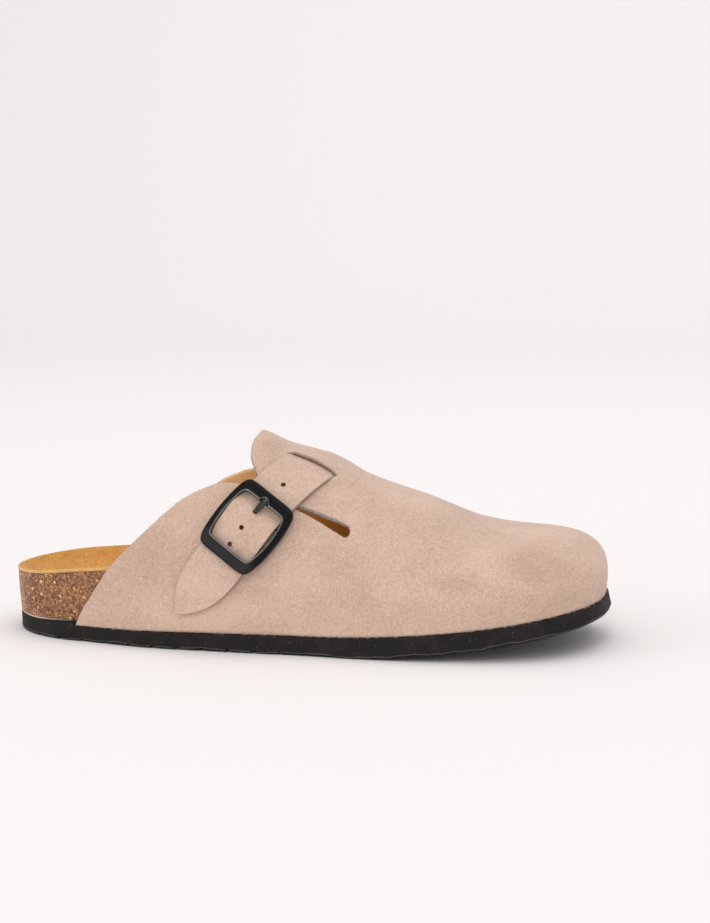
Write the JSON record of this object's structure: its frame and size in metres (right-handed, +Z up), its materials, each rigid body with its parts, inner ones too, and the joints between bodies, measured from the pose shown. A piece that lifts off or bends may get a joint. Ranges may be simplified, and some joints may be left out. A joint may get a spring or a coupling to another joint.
{
  "type": "clog",
  "caption": "Slip-on suede clog for the right foot with a cork footbed, a dark rubber sole, an open heel and a buckled strap that runs under a flap over the instep.",
  "frame": {"origin": "on the floor under the middle of the clog's bounding box", "axes": "+X from heel to toe, +Y to the medial (big toe) side, -Y to the lateral (buckle) side, +Z up"},
  "size_m": [0.28, 0.0994, 0.0939],
  "materials": {
    "sole_rubber": "matt foamed rubber with fine specks",
    "cork": "bare bound cork granules, sealed thinly",
    "lining_suede": "golden tan suede with a short nap",
    "upper_suede": "taupe suede with a soft nap, tan lining inside",
    "strap_suede": "taupe suede with a soft nap",
    "buckle_lacquer": "black satin-gloss lacquer",
    "prong_lacquer": "black satin-gloss lacquer"
  },
  "bodies": {
    "root": {"outsole": "sole_rubber", "cork_footbed": "cork", "insole": "lining_suede", "upper": "upper_suede", "strap": "strap_suede", "buckle_frame": "buckle_lacquer", "buckle_prong": "prong_lacquer"}
  },
  "joints": []
}
